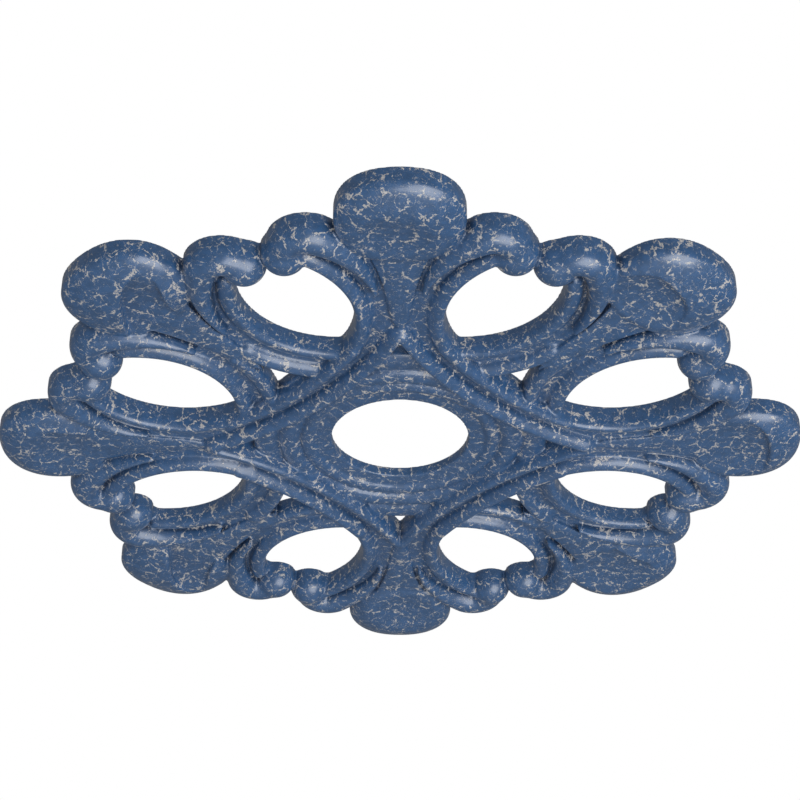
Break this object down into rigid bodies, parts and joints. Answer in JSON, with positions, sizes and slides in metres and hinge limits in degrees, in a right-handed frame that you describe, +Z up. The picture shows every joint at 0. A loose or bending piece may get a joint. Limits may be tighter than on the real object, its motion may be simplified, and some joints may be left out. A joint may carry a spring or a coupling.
{
  "type": "ceiling medallion",
  "caption": "Round pierced ceiling medallion of leaf lobes and curled scrolls on arms round a stepped centre ring with a hole for a light fitting.",
  "frame": {"origin": "centre of the round centre hole, on the flat back that lies against the ceiling", "axes": "+Z up, out of the flat back into the ceiling; the carved face looks along -Z; X and Y run along straight arms, and +X is to the right for a viewer who looks along +Y"},
  "size_m": [0.5078, 0.5078, 0.0208],
  "materials": {
    "painted_foam": "semi-gloss denim blue paint with a fine pale grey-beige crackle over the whole face"
  },
  "bodies": {
    "root": {"medallion": "painted_foam"}
  },
  "joints": []
}
